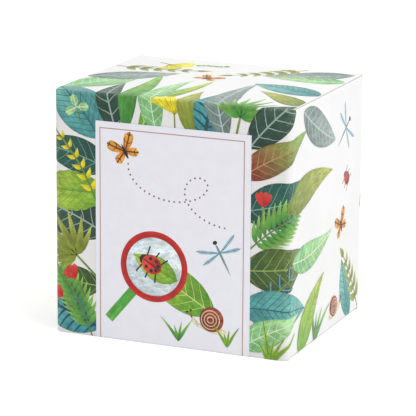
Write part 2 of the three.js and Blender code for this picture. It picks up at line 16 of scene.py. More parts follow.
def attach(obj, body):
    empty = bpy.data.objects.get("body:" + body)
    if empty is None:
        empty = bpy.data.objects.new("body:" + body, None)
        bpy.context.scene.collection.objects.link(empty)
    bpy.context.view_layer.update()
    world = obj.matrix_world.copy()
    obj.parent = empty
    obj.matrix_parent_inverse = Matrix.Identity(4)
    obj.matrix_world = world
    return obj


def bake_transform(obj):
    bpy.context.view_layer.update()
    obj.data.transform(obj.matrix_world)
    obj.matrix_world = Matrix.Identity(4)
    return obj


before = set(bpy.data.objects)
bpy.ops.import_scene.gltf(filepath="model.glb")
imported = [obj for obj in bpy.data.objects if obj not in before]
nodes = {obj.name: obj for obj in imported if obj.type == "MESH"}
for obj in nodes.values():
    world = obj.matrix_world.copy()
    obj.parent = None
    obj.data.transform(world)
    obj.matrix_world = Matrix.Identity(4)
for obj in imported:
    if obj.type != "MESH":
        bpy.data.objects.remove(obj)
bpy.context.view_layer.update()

MM = 0.001
WHITE = (1, 1, 1, 1)
SQUARE = ((-1, -1), (1, -1), (1, 1), (-1, 1))

# The carton
HALF_WIDTH = 52.0
HALF_DEPTH = 42.5
HEIGHT = 103.0
BOARD = 0.5
GAP = 0.3
FOLD_RADIUS = 2.6
CREASE_RADIUS = 0.9
FACETS = 6
LID_SIDE_INSET = 0.45
BACK_EDGE_INSET = 1.2
GLUE_FACETS_SEEN = 3
TUCK_LEAN = radians(11)
TUCK_HALF_WIDTH = 48.2

FLAT_X = HALF_WIDTH - FOLD_RADIUS
FLAT_Y = HALF_DEPTH - FOLD_RADIUS
INNER_TOP = HEIGHT - BOARD - GAP
LID_AXIS_Y = CREASE_RADIUS - HALF_DEPTH
LID_BACK = HALF_DEPTH - 2 * BOARD - GAP
LID_FLAT_BACK = LID_BACK - CREASE_RADIUS
LID_HALF_WIDTH = HALF_WIDTH - LID_SIDE_INSET
GLUE_FOLD_Y = FLAT_Y - BOARD
DUST_FLAP_FRONT = GAP - FLAT_Y
DUST_FLAP_BACK = min(LID_FLAT_BACK, GLUE_FOLD_Y) - GAP

# The core round which the walls are folded, as its lowest and highest x, y and z
CORE = ((-FLAT_X, FLAT_X), (-FLAT_Y, FLAT_Y), (CREASE_RADIUS, HEIGHT - CREASE_RADIUS))

# How squarely a board's face has to turn to its printed or plain side to count as that side, and
# the way the lid's printed side turns, which curves down at the back
WALL_FACING = 0.5
FLAP_FACING = 0.6
LID_OUT = (0, 0.3, 1)

# Smoothing of the folds
SMOOTHING = {
    "WELD": {"merge_threshold": 0.0005 * MM},
    "EDGE_SPLIT": {"split_angle": radians(32), "use_edge_sharp": False},
    "WEIGHTED_NORMAL": {"mode": "FACE_AREA", "weight": 100},
}

# The strips of board in the gaps at the hinged creases
STRIP_STEPS = 10
STRIP_LAP = 0.1
STRIP_HALF_THICKNESS = BOARD * 0.46
LID_STRIP_INSET = 0.3

# The label on the front
LABEL_LEFT = -33.1
LABEL_RIGHT = 35.2
LABEL_TOP = 91.6
LABEL_ROWS = 40
LABEL_COLUMNS = 30
KEYLINE_LEFT = LABEL_LEFT + 2.0
KEYLINE_RIGHT = LABEL_RIGHT - 3.0
KEYLINE_TOP = LABEL_TOP - 2.8
KEYLINE_WIDTH = 0.42
LENS = (-7, 33)
LENS_RADIUS = 13.6

# The dotted flight path on the label, as far as it is drawn
FLIGHT_START = (24, 60)
FLIGHT_RUN = (-40, 14)
FLIGHT_SWING = (10.5, 7.5)
FLIGHT_TURNS = 1.6
FLIGHT_SHARE = 0.85
FLIGHT_STEPS = 600
DOT_SPACING = 2.2
DOT_RADIUS = 0.42

# The mesh and the wavering outlines of the drawing
ROW_SPACING = 2.2
TOOTH_SPACING = 1.2
COLUMN_SPACING = 5
WAVER = 0.035
WAVERING_WIDTH = 8
FAN_RINGS = 5
FAN_COLUMNS = 20
FAN_SPREAD = 130.0
SPRIG_OPENING = 52.0
FERN_OPENING = 62
FERN_SPACING = 2.6
CATERPILLAR_JOINTS = 7

# Ink: its layers, its wear at the creases, and its map for baking
INK_STEP = 0.008
INK_THICKNESS = 0.005
PRESSED_SHARE = 0.12
PRESSED_RUN = 1.6
LID_WEAR_RUN = 0.8
CREASE_WEAR_LEAD = 0.3
CELL = 2.5
TOUCH = 1e-9
SPECK = 1e-6
WELD_DIGITS = 3
ATLAS_MARGIN = 0.35
ATLAS_SLACK = 1.04
ATLAS_GROWTH = 1.03
INK_FACTS = {
    "tint": "COLOR", "vein_tint": "COLOR", "leaf": "VECTOR", "veining": "VECTOR", "finish": "VECTOR",
}

# Camera, from the photograph's corners
CAMERA_AZIMUTH = radians(22.97)
CAMERA_ELEVATION = radians(14.02)
CAMERA_ROLL = radians(0.40)
CAMERA_DISTANCE = 1046.0
CAMERA_LENS = 215.9
CAMERA_RIGHT = -1.27
CAMERA_UP = -2.71
SENSOR_WIDTH = 36.0
CLIP_START = 50.0

# Light and floor, with distances in metres
AMBIENT = 0.745
AMBIENT_COLOUR = (1.0, 0.985, 0.975, 1)
KEY_LIGHT = 1.6
KEY_COLOUR = (0.91, 0.957, 1.0)
KEY_FROM = (0.56, -0.12, 0.82)
KEY_DISTANCE = 0.8
KEY_SIZE = 0.6
FLOOR_LIFT = 0.44
FLOOR_PAPER = (0.86, 0.86, 0.86, 1)
FLOOR_REACH = 3.0
FLOOR_LEVEL = -0.00002

CLEAR_PLASTIC_IOR = 1.49


def linear(colour):
    """A colour given as 0 to 255 display values, in linear light."""
    shares = [value / 255 for value in colour]
    light = [share / 12.92 if share <= 0.04045 else ((share + 0.055) / 1.055) ** 2.4 for share in shares]
    return (*light, 1.0)


def clamp(value, low, high):
    return max(low, min(high, value))


def smoothstep(value):
    value = clamp(value, 0.0, 1.0)
    return value * value * (3 - 2 * value)


def spaced(first, last, count):
    """The points that part a stretch into count even steps, with both ends."""
    return [first + (last - first) * index / count for index in range(count + 1)]


def adjust(thing, settings):
    for name, value in settings.items():
        setattr(thing, name, value)


def add_object(name, data):
    made = bpy.data.objects.new(name, data)
    bpy.context.scene.collection.objects.link(made)
    return made


def add_mesh(name, places, faces, material):
    mesh = bpy.data.meshes.new(name)
    mesh.from_pydata(places, [], faces)
    mesh.materials.append(material)
    return add_object(name, mesh)


# Shader nodes

class Value:
    """One output of a shader node. Arithmetic on it adds math nodes."""

    def __init__(self, shading, socket):
        self.shading = shading
        self.socket = socket

    def math(self, operation, *rest):
        return self.shading.add("Math", dict(enumerate((self, *rest))), operation=operation)

    __add__ = partialmethod(math, "ADD")
    __sub__ = partialmethod(math, "SUBTRACT")
    __mul__ = partialmethod(math, "MULTIPLY")
    __truediv__ = partialmethod(math, "DIVIDE")
    __lt__ = partialmethod(math, "LESS_THAN")
    __abs__ = partialmethod(math, "ABSOLUTE")
    maximum = partialmethod(math, "MAXIMUM")


class Shading:
    """The nodes of a material or a world, and the last of them, which takes what the others make."""

    def __init__(self, owner, last="Principled BSDF"):
        owner.use_nodes = True
        self.owner = owner
        self.tree = owner.node_tree
        self.last = self.tree.nodes[last]

    def give(self, inputs, node=None):
        """Sets inputs of a node, or of the last one. Each is a number, a colour or a Value."""
        sockets = self.last.inputs if node is None else node.inputs
        for name, value in inputs.items():
            if isinstance(value, Value):
                self.tree.links.new(value.socket, sockets[name])
            else:
                sockets[name].default_value = value

    def add(self, kind, inputs, output=0, **settings):
        """One output of a new node, by its number or name."""
        node = self.tree.nodes.new("ShaderNode" + kind)
        adjust(node, settings)
        self.give(inputs, node)
        return Value(self, node.outputs[output])

    def noise(self, scale, detail=3.0, stretch=None, roughness=0.5):
        """Noise in the object's own metres: scale is its waves in each metre."""
        place = self.add("TexCoord", {}, "Object")
        if stretch:
            place = self.add("Mapping", {"Vector": place, "Scale": stretch})
        inputs = {"Vector": place, "Scale": scale, "Detail": detail, "Roughness": roughness}
        return self.add("TexNoise", inputs)

    def ramp(self, value, out_low=0.0, out_high=1.0, low=0.3, high=0.7):
        inputs = {"Value": value, 1: low, 2: high, 3: out_low, 4: out_high}
        return self.add("MapRange", inputs, interpolation_type="SMOOTHSTEP")

    def mix(self, share, first, second, blend="MIX"):
        inputs = {0: share, 6: first, 7: second}
        return self.add("Mix", inputs, 2, data_type="RGBA", blend_type=blend)

    def parts(self, name):
        """The three numbers of a vector attribute."""
        whole = self.add("Attribute", {}, "Vector", attribute_name=name)
        return [self.add("SeparateXYZ", {0: whole}, part) for part in range(3)]

    def surface(self, inputs, height, distance, strength=1.0):
        """Gives the shader its inputs and bumps, and returns the finished material."""
        bumps = {"Height": height, "Distance": distance * MM, "Strength": strength}
        self.give({**inputs, "Normal": self.add("Bump", bumps)})
        return self.owner

    def seen_directly(self):
        """1 for the rays that show a background: from the camera, off gloss and through glass."""
        rays = ("Is Camera Ray", "Is Glossy Ray", "Is Transmission Ray")
        camera, gloss, glass = (self.add("LightPath", {}, ray) for ray in rays)
        return camera.maximum(gloss).maximum(glass)


# Camera, light and floor

def set_camera():
    """Turns the camera round the carton's middle, backs it off, shifts it and rolls it in place."""
    data = bpy.data.cameras.new("camera")
    data.sensor_width = SENSOR_WIDTH
    data.lens = CAMERA_LENS
    data.clip_start = CLIP_START * MM
    camera = add_object("camera", data)
    camera.matrix_world = (
        Matrix.Translation((0, 0, HEIGHT / 2 * MM))
        @ Matrix.Rotation(CAMERA_AZIMUTH, 4, "Z")
        @ Matrix.Rotation(pi / 2 - CAMERA_ELEVATION, 4, "X")
        @ Matrix.Translation(Vector((CAMERA_RIGHT, CAMERA_UP, CAMERA_DISTANCE)) * MM)
        @ Matrix.Rotation(CAMERA_ROLL, 4, "Z")
    )
    bpy.context.scene.camera = camera


def set_light():
    scene = bpy.context.scene
    scene.view_settings.view_transform = "Standard"
    scene.world = bpy.data.worlds.new("studio")
    shading = Shading(scene.world, "Background")
    seen = shading.seen_directly()
    shading.give({
        "Color": shading.mix(seen, AMBIENT_COLOUR, WHITE),
        "Strength": seen * (1 - AMBIENT) + AMBIENT,
    })
    lamp = bpy.data.lights.new("key", "AREA")
    lamp.shape = "DISK"
    lamp.size = KEY_SIZE
    # The power that gives the carton KEY_LIGHT watts a square metre from this distance.
    lamp.energy = KEY_LIGHT * pi * KEY_DISTANCE ** 2
    lamp.color = KEY_COLOUR
    key = add_object("key", lamp)
    way = Vector(KEY_FROM).normalized()
    key.location = Vector((0, 0, HEIGHT / 2 * MM)) + way * KEY_DISTANCE
    key.rotation_euler = way.to_track_quat("Z", "Y").to_euler()


def set_floor():
    shading = Shading(bpy.data.materials.new("floor"), "Material Output")
    shading.tree.nodes.remove(shading.tree.nodes["Principled BSDF"])
    paper = shading.add("BsdfDiffuse", {"Color": FLOOR_PAPER})
    glow = shading.add("Emission", {"Color": WHITE, "Strength": shading.seen_directly() * FLOOR_LIFT})
    shading.give({"Surface": shading.add("AddShader", {0: paper, 1: glow})})
    corners = [(x * FLOOR_REACH, y * FLOOR_REACH, FLOOR_LEVEL) for x, y in SQUARE]
    add_mesh("floor", corners, [(0, 1, 2, 3)], shading.owner)


# Materials

def new_look(name, roughness, specular=0.5):
    look = Shading(bpy.data.materials.new(name))
    look.give({"Roughness": roughness, "Specular IOR Level": specular})
    return look


def board_material(name, colour, shade, fleck, roughness, grain):
    """Paperboard: a clouded ground, fibre flecks and a fibrous surface."""
    look = new_look(name, roughness, 0.35)
    cloud = look.noise(45, 4)
    ground = look.mix(look.ramp(cloud), linear(shade), linear(colour))
    fibres = look.ramp(look.noise(1500, 2, (1.0, 0.35, 1.0)), low=0.66, high=0.74)
    return look.surface({
        "Base Color": look.mix(fibres, ground, linear(fleck)),
        "Roughness": look.ramp(look.noise(300), roughness - 0.05, roughness + 0.06),
    }, look.noise(1100, 4) + cloud, grain)


def plastic_material(name, colour, deep, roughness, coat):
    """Glossy moulded plastic with faint flow clouds and an orange-peel skin."""
    look = new_look(name, roughness)
    flow = look.ramp(look.noise(60, 3, (1, 1, 2.5)))
    return look.surface({
        "Base Color": look.mix(flow, linear(deep), linear(colour)),
        "Roughness": look.ramp(look.noise(500), roughness - 0.05, roughness + 0.07),
        "Coat Weight": coat,
        "Coat Roughness": 0.12,
    }, look.noise(700, 2), 0.012)


def clear_material(name, tint, roughness):
    """Clear moulded plastic with faint ripples and a little handling haze."""
    look = new_look(name, roughness)
    haze = look.noise(90, 4)
    return look.surface({
        "Transmission Weight": 1.0,
        "IOR": CLEAR_PLASTIC_IOR,
        "Base Color": look.mix(look.ramp(haze, low=0.35), WHITE, tint),
        "Roughness": look.ramp(haze, roughness, roughness + 0.06, 0.4, 0.8),
    }, look.noise(220, 2), 0.02, 0.5)


def steel_material():
    look = new_look("drawn_steel", 0.3)
    drawn = look.noise(900, 3, (0.05, 1, 1))
    return look.surface({
        "Metallic": 1.0,
        "Base Color": look.mix(drawn, linear((150, 152, 155)), linear((205, 206, 208))),
        "Roughness": look.ramp(drawn, 0.22, 0.4),
    }, drawn, 0.004)


def ink_material():
    """Watercolour-like print: each leaf's own tint, veins, clouded pigment and a darker rim."""
    look = new_look("ink", 0.42, 0.35)
    tint, vein_tint = (
        look.add("Attribute", {}, "Color", attribute_name=name) for name in ("tint", "vein_tint")
    )
    along, offset, half = look.parts("leaf")
    pitch, slope, line = look.parts("veining")
    plain, worn, _ = look.parts("finish")
    side = abs(offset)
    edge = side / half.maximum(0.05)
    # Side veins leave the midrib at a slant and grow finer towards the leaf's edge.
    turns = (along - side * slope + look.noise(160, 2) * 2.2) / pitch.maximum(0.01)
    far = abs(turns.math("FRACT") - 0.5) * pitch
    veins = far < line * (edge * -0.6 + 1.05) * 0.5
    midrib = side < line * 0.6
    mask = veins.maximum(midrib) * pitch.math("GREATER_THAN", 0.02)
    # The pigment is clouded and grainy, darker at the rim, brushed along the leaf and lighter on one half.
    brush_place = look.add("CombineXYZ", {0: along * 0.16, 1: offset * 1.1, 2: half})
    brush = look.add("TexNoise", {"Vector": brush_place, "Scale": 1.0, "Detail": 4.0})
    wash = (
        look.ramp(look.noise(190, 5, roughness=0.62), 0.80, 1.16, 0.32, 0.68)
        * look.ramp(look.noise(1500, 2), 0.94, 1.05)
        * look.ramp(edge, 1.0, 0.84, 0.72, 1.0)
        * look.ramp(brush, 0.82, 1.18)
        * look.ramp(offset, 0.90, 1.06, -0.6, 0.6)
    )
    grey_wash = look.add("CombineColor", dict.fromkeys(range(3), wash))
    washed = look.mix(plain, look.mix(1.0, tint, grey_wash, "MULTIPLY"), tint)
    veined = look.mix(mask, washed, vein_tint)
    # Along the folds the ink is rubbed off in small flecks.
    flecks = look.ramp(look.noise(1700, 4, (1, 1, 0.5), 0.6), low=0.46, high=0.72)
    return look.surface({
        "Base Color": look.mix(flecks * worn * 0.20, veined, linear((240, 237, 234))),
        "Roughness": look.ramp(look.noise(300), 0.36, 0.5),
    }, look.noise(1100, 4), 0.012)


# The flat blank, and how it folds

FACET_ANGLE = pi / 2 / FACETS
FOLD_STEP = 2 * FOLD_RADIUS * sin(pi / 4 / FACETS)
CREASE_STEP = 2 * CREASE_RADIUS * sin(pi / 4 / FACETS)
FOLD_RUN = FACETS * FOLD_STEP
CREASE_RUN = FACETS * CREASE_STEP
BASE_RUN = (FACETS - 2) * CREASE_STEP
NO_CREASE = 1000.0

# The levels where a wall's creases begin, low and high, and the first and last v that carry print.
Section = namedtuple("Section", "low high bottom top")


def creased(low, high):
    return Section(low, high, low - BASE_RUN, high + CREASE_RUN)


FRONT = creased(CREASE_RADIUS, HEIGHT - CREASE_RADIUS)
SIDE = creased(BOARD + GAP + CREASE_RADIUS, INNER_TOP - CREASE_RADIUS)
BACK = FRONT._replace(high=NO_CREASE, top=INNER_TOP)

S_RIGHT = FLAT_X + FOLD_RUN
S_RIGHT_END = S_RIGHT + 2 * FLAT_Y
S_BACK = S_RIGHT_END + FOLD_RUN
S_BACK_END = S_BACK + FLAT_X + HALF_WIDTH - BACK_EDGE_INSET
S_LEFT = -FLAT_X - FOLD_RUN
S_LEFT_END = S_LEFT - (FLAT_Y + GLUE_FOLD_Y)
S_SEAM = S_LEFT_END - GLUE_FACETS_SEEN * FOLD_STEP
SEAM_TURN = pi - GLUE_FACETS_SEEN * FACET_ANGLE

# A wall reaches from s0 to s1. It runs straight from its start, or turns about an axis from an angle on.
Wall = namedtuple("Wall", "name s0 s1 section start run axis turn", defaults=(None,) * 4)
WALLS = [
    Wall("front", -FLAT_X, FLAT_X, FRONT, (-FLAT_X, -HALF_DEPTH), (1, 0)),
    Wall("front", FLAT_X, S_RIGHT, FRONT, axis=(FLAT_X, -FLAT_Y), turn=-pi / 2),
    Wall("right", S_RIGHT, S_RIGHT_END, SIDE, (HALF_WIDTH, -FLAT_Y), (0, 1)),
    Wall("right", S_RIGHT_END, S_BACK, BACK, axis=(FLAT_X, FLAT_Y), turn=0.0),
    Wall("back", S_BACK, S_BACK_END, BACK, (FLAT_X, HALF_DEPTH), (-1, 0)),
    Wall("left", S_LEFT, -FLAT_X, FRONT, axis=(-FLAT_X, -FLAT_Y), turn=-pi),
    Wall("left", S_LEFT_END, S_LEFT, SIDE, (-HALF_WIDTH, GLUE_FOLD_Y), (0, -1)),
    Wall("left", S_SEAM, S_LEFT_END, BACK, axis=(-FLAT_X, GLUE_FOLD_Y), turn=SEAM_TURN),
]
TOP = FRONT.top
LID_START = TOP + GAP
LID_NOTCH = TOP + GAP - FLAT_Y - LID_AXIS_Y
LID_END = TOP + LID_FLAT_BACK - LID_AXIS_Y
LID_CORNER_RADIUS = FOLD_RADIUS - CREASE_RADIUS - GAP


def blank_cuts():
    """The lines of the blank along s and v where the print has to bend or end."""
    s_cuts = [-LID_HALF_WIDTH, LID_HALF_WIDTH]
    for wall in WALLS:
        facets = round((wall.s1 - wall.s0) / FOLD_STEP) if wall.axis else 1
        s_cuts += spaced(wall.s0, wall.s1, facets)
    v_cuts = [INNER_TOP, LID_START, LID_NOTCH, LID_END]
    for low, high, *_ in (FRONT, SIDE):
        v_cuts += spaced(low, low - CREASE_RUN, FACETS) + spaced(high, high + CREASE_RUN, FACETS)
    return sorted(set(s_cuts)), sorted(set(v_cuts))


def on_arc(run, step):
    """The angle turned after a run along an arc's facets, and the share of its radius left on the chord."""
    facet = min(FACETS - 1, int(run / step + TOUCH))
    share = run / step - facet
    first, second = (rect(1, corner * FACET_ANGLE) for corner in (facet, facet + 1))
    point = first * (1 - share) + second * share
    return phase(point), abs(point)


def pressed(run):
    """How much of an ink layer's height is left at a run from the lid's crease, where the lid folds back."""
    return clamp(run / PRESSED_RUN, PRESSED_SHARE, 1.0)


def wall_point(wall, s, v, height):
    """The place in space of a point of the blank, height above the board's printed face."""
    section = wall.section
    if section is FRONT:
        height *= pressed(section.top - v)
    tilt, inward, z = 0.0, 0.0, v
    for level, way in ((section.high, 1), (section.low, -1)):
        past = way * (v - level)
        if past > 0:
            tilt, share = on_arc(past, CREASE_STEP)
            inward = CREASE_RADIUS * (1 - share * cos(tilt))
            z = level + way * CREASE_RADIUS * share * sin(tilt)
            tilt *= way
    run = s - wall.s0
    if wall.axis:
        angle, share = on_arc(run, FOLD_STEP)
        angle += wall.turn
        normal = (cos(angle), sin(angle))
        x, y = (middle + FOLD_RADIUS * share * way for middle, way in zip(wall.axis, normal))
    else:
        normal = (wall.run[1], -wall.run[0])
        x, y = (start + way * run for start, way in zip(wall.start, wall.run))
    out = height * cos(tilt) - inward
    return (x + normal[0] * out, y + normal[1] * out, z + height * sin(tilt))


def lid_point(s, v, height):
    return (s, LID_AXIS_Y + (v - TOP), HEIGHT + height * pressed(v - TOP))


def wear_at(wall, s, v):
    """How rubbed the print is: 1 along the middle of a fold or crease, 0 away from it."""
    if wall is None:
        return exp(-max(0.0, v - TOP) / LID_WEAR_RUN)
    fold_wear = sin(pi * (s - wall.s0) / (wall.s1 - wall.s0)) if wall.axis else 0.0
    crease = max(v - wall.section.high, wall.section.low - v) / CREASE_RUN
    crease_wear = sin(pi * min(1.0, crease + CREASE_WEAR_LEAD)) if crease > 0 else 0.0
    return max(0.0, fold_wear, crease_wear)


# Inks: the colours of a motif's root, tip and veins, the veins' pitch, slope and width, and how plain it is

Ink = namedtuple("Ink", "base tip vein pitch slope line plain")


def ink(base, tip=None, vein=(0, 0, 0), pitch=0.0, slope=0.8, line=0.4, plain=0.0):
    return Ink(linear(base), linear(tip or base), linear(vein), pitch, slope, line, plain)


DARK = ink((34, 62, 50), (62, 98, 74), (150, 176, 168), 5.2, 0.75, 0.55)
DEEP = ink((28, 74, 66), (44, 104, 88), (118, 160, 150), 4.2, 0.9)
TEAL = ink((58, 140, 146), (104, 178, 176), (26, 78, 88), 3.4, 0.42, 1.15)
TEAL_FINE = ink((74, 150, 150), (120, 186, 176), (40, 104, 108), 3.0, 0.9, 0.45)
LIME = ink((92, 158, 44), (172, 198, 62), (206, 220, 130), 4.4, 0.95, 0.42)
SPRING = ink((122, 176, 52), (186, 204, 78), (92, 146, 40), 3.6, 1.0, 0.35)
MOSS = ink((50, 82, 36), (106, 128, 50), (150, 168, 98), 4.4, 0.9)
OLIVE = ink((122, 140, 44), (178, 182, 84))
PALE = ink((128, 192, 124), (172, 216, 150), (216, 234, 200), 4.0)
GRASS = ink((66, 142, 56), (150, 200, 92))
GREY = ink((112, 134, 128), (156, 170, 164), (190, 200, 196), 4.6, 0.8, 0.45)
YELLOW = ink((222, 206, 26), (240, 230, 66))
STEM = ink((96, 124, 52), (124, 150, 66))
RED = ink((198, 32, 38), (224, 74, 60))
BROWN = ink((120, 78, 48), (164, 116, 74))
RUST = ink((140, 46, 40), (176, 84, 60), (96, 28, 26), 3.0, 0.8, 0.3)
BLACK = ink((38, 36, 36))
ORANGE = ink((232, 140, 42), (240, 176, 70), (96, 54, 26), 3.2, 0.7, 0.5)
SKY = ink((150, 196, 214), (196, 222, 230), (92, 140, 160), 3.0, 0.6, 0.3)
CREAM = ink((232, 214, 170), (240, 228, 196))
RUST_GREEN = ink((142, 44, 42), (130, 188, 92), (186, 150, 104), 3.6, 0.9, 0.35)
FAN_LINE = ink((196, 172, 24))
HANDLE = ink((78, 164, 60), (98, 184, 74))
HOOP = ink((206, 44, 40), (222, 72, 60))
PAPER = ink((245, 244, 252), plain=0.92)
KEYLINE = ink((184, 148, 132), plain=1.0)
GLASS = ink((214, 230, 236), (232, 242, 244))


# Motifs, each drawn as patches of the blank

# A patch's rows hold points (s, v, along, across, half): the last three are lengths within its leaf.
Patch = namedtuple("Patch", "rows ink length angle layer")
motifs = []


def add_patch(rows, look, length=1.0, angle=0.0, layer=0):
    motifs[-1].append(Patch(rows, look, length, angle, layer))


def oval(t):
    return sin(pi * t ** 0.8) ** 0.9 if 0 < t < 1 else 0.0


def lance(t):
    return sin(pi * t ** 0.62) ** 1.1 if 0 < t < 1 else 0.0


def toothed(t):
    return oval(t) * (1 + 0.07 * abs(sin(9 * pi * t)))


def blade(t):
    return (1 - t) ** 0.75 * min(1.0, 0.35 + 3 * t)


def drop(t):
    return 1.45 * t ** 0.75 * (1 - t) ** 0.38


def evenly(t):
    return 1.0


def ahead(at, angle, length):
    turn = radians(angle)
    return (at[0] + cos(turn) * length, at[1] + sin(turn) * length)


def spine(at, angle, length, bend, steps):
    """Points and headings along an arc from a point, turning by bend degrees in all."""
    points = []
    s, v = at
    for t in spaced(0, 1, steps):
        heading = radians(angle + bend * t)
        points.append((s, v, heading, t))
        s += cos(heading) * length / steps
        v += sin(heading) * length / steps
    return points


def leaf(at, angle, length, width, look, bend=0.0, shape=oval, layer=0):
    columns = max(2, 2 * round(width / COLUMN_SPACING))
    steps = max(7, round(length / (TOOTH_SPACING if shape is toothed else ROW_SPACING)))
    rows = []
    for s, v, heading, t in spine(at, angle, length, bend, steps):
        # A hand-drawn outline wavers a little.
        waver = 1 + WAVER * sin(7.3 * t + at[0]) if width > WAVERING_WIDTH else 1.0
        half = width / 2 * shape(t) * waver
        sides = [half * side for side in spaced(-1, 1, columns)]
        rows.append([(s - sin(heading) * w, v + cos(heading) * w, t * length, w, half) for w in sides])
    add_patch(rows, look, length, radians(angle + bend / 2), layer)


def stroke(at, angle, length, width, look, bend=0.0, layer=0):
    leaf(at, angle, length, width, look, bend, evenly, layer)


def disc(at, radius, look, squeeze=1.0, angle=0.0, points=16, layer=0):
    """A filled ellipse, drawn from its middle out."""
    turn = radians(angle)
    rows = []
    for r in spaced(0, radius, max(2, round(radius / ROW_SPACING))):
        row = []
        for around in spaced(0, 2 * pi, points):
            x, y = r * cos(around), r * squeeze * sin(around)
            s = at[0] + x * cos(turn) - y * sin(turn)
            v = at[1] + x * sin(turn) + y * cos(turn)
            row.append((s, v, x + radius, y, sqrt(max(0.01, radius * radius - x * x))))
        rows.append(row)
    add_patch(rows, look, 2 * radius, turn, layer)


def hoop(at, radius, width, look, points, layer):
    rows = []
    for side in (-width / 2, 0.0, width / 2):
        r = radius + side
        rows.append([
            (at[0] + r * cos(around), at[1] + r * sin(around), 0.0, side, width / 2)
            for around in spaced(0, 2 * pi, points)
        ])
    add_patch(rows, look, layer=layer)


def fan(at, angle, radius):
    """A yellow fan-shaped leaf on a short stalk, notched in the middle of its rim."""
    stroke(at, angle, radius * 0.55, 0.6, STEM)
    root = ahead(at, angle, radius * 0.5)
    rows = []
    for t in spaced(0, 1, FAN_RINGS):
        row = []
        for column, share in enumerate(spaced(-1, 1, FAN_COLUMNS)):
            around = radians(angle) + radians(FAN_SPREAD / 2) * share
            rim = 1 - 0.35 * max(0.0, 1 - abs(share) / 0.18) + 0.05 * sin(column * 1.9)
            r = radius * t * rim
            s, v = root[0] + r * cos(around), root[1] + r * sin(around)
            row.append((s, v, r, share * radius * 0.7, radius * 0.72))
        rows.append(row)
    add_patch(rows, YELLOW, radius, radians(angle), 1)
    for share in (-0.75, -0.5, -0.25, 0.25, 0.5, 0.75):
        stroke(root, angle + FAN_SPREAD / 2 * share, radius * 0.82, 0.25, FAN_LINE, 0, 2)


def palm(at, angle, size, look):
    """A palm leaf: narrow fingers spread from the end of a stalk."""
    stroke(at, angle, size * 0.5, 0.9, STEM, 0, 1)
    root = ahead(at, angle, size * 0.48)
    for index, turn in enumerate((-84, -62, -40, -19, 0, 19, 40, 62, 84)):
        length = size * (1 - 0.0045 * abs(turn))
        leaf(root, angle + turn, length, size * 0.125, look, turn * -16 / 60, lance, index % 2)


def sprig(at, angle, length, look, bend, pairs=5, leaf_length=9, leaf_width=4.2):
    """A stem with leaflets in pairs and one at its tip."""
    stroke(at, angle, length, 0.7, STEM, bend, 1)
    *forks, tip = spine(at, angle, length, bend, 2 * (pairs + 1))[2::2]
    for s, v, heading, t in forks:
        size = 1.0 - 0.45 * t
        for hand in (1, -1):
            way = degrees(heading) + hand * SPRIG_OPENING
            leaf((s, v), way, leaf_length * size, leaf_width * size, look, hand * -18, lance)
    leaf(tip[:2], degrees(tip[2]), leaf_length * 0.8, leaf_width * 0.8, look, 0, lance)


def fern(at, angle, length, bend):
    """A frond: a stem with many narrow leaflets that shorten towards its tip."""
    stroke(at, angle, length, 0.6, STEM, bend, 1)
    for s, v, heading, t in spine(at, angle, length, bend, round(length / FERN_SPACING))[2:]:
        size = length * 0.30 * sin(pi * (0.22 + 0.76 * t)) ** 0.9
        for hand in (1, -1):
            leaf((s, v), degrees(heading) + hand * FERN_OPENING, size, 2.3, GRASS, hand * -22, lance)


def tuft(at, look, angles, length, width=2.6):
    for index, angle in enumerate(angles):
        size = length * (0.72 + 0.28 * sin(index * 2.3 + 1))
        leaf(at, angle, size, width, look, (90 - angle) * -0.45, blade, index % 3)


def blossom(at, angle, size):
    """A red cup of petals on a stalk."""
    stroke(at, angle, size * 1.4, 0.6, STEM, 15)
    root = spine(at, angle, size * 1.4, 15, 6)[-1][:2]
    for layer, turn in enumerate((-34, 34, -12, 14)):
        leaf(root, angle + 15 + turn, size, size * 0.52, RED, -turn * 0.4, drop, layer + 1)


def clover(at, angle, size):
    stroke(at, angle, size, 0.5, STEM)
    for layer, part in enumerate((-100, 0, 100)):
        leaf(ahead(at, angle, size), angle + part, size, size * 0.95, PALE, 0, drop, layer + 1)


def butterfly(at, angle, size):
    for side in (-1, 1):
        outward = angle + 90 - side * 90
        leaf(at, outward - side * 28, size * 0.74, size * 0.62, ORANGE, 0, drop, 0)
        leaf(at, outward + side * 42, size, size * 0.72, ORANGE, side * 12, drop, 1)
        stroke(at, angle + 90 - side * 18, size * 0.72, 0.25, BLACK, -side * 30, 2)
    leaf(ahead(at, angle + 90, -size * 0.42), angle + 90, size * 0.82, size * 0.16, BLACK, 0, oval, 3)


def dragonfly(at, angle, size):
    for side in (-1, 1):
        for layer, (sweep, reach) in enumerate(((68, 0.62), (104, 0.56))):
            leaf(at, angle + side * sweep, size * reach, size * 0.13, SKY, -side * 8, drop, layer)
    leaf(ahead(at, angle, -size * 0.62), angle, size * 0.9, size * 0.075, DEEP, 0, drop, 2)
    disc(ahead(at, angle, size * 0.27), size * 0.06, BLACK, 0.8, angle + 90, 12, 3)


def ladybird(at, angle, size):
    for row in (-0.25, 0.05, 0.35):
        for hand in (-1, 1):
            root = ahead(at, angle, row * size)
            stroke(root, angle + hand * (100 - row * 60), size * 0.72, size * 0.07, BLACK)
    disc(ahead(at, angle, size * 0.42), size * 0.24, BLACK, layer=1)
    disc(at, size * 0.5, RED, 0.86, angle, 24, 2)
    stroke(ahead(at, angle, -size * 0.48), angle, size * 0.95, size * 0.05, BLACK, 0, 3)
    for along, out in ((0.18, 0.22), (-0.12, 0.26), (-0.3, 0.12)):
        for hand in (-1, 1):
            spot = ahead(ahead(at, angle, along * size), angle + 90, out * hand * size)
            disc(spot, size * 0.085, BLACK, points=10, layer=4)


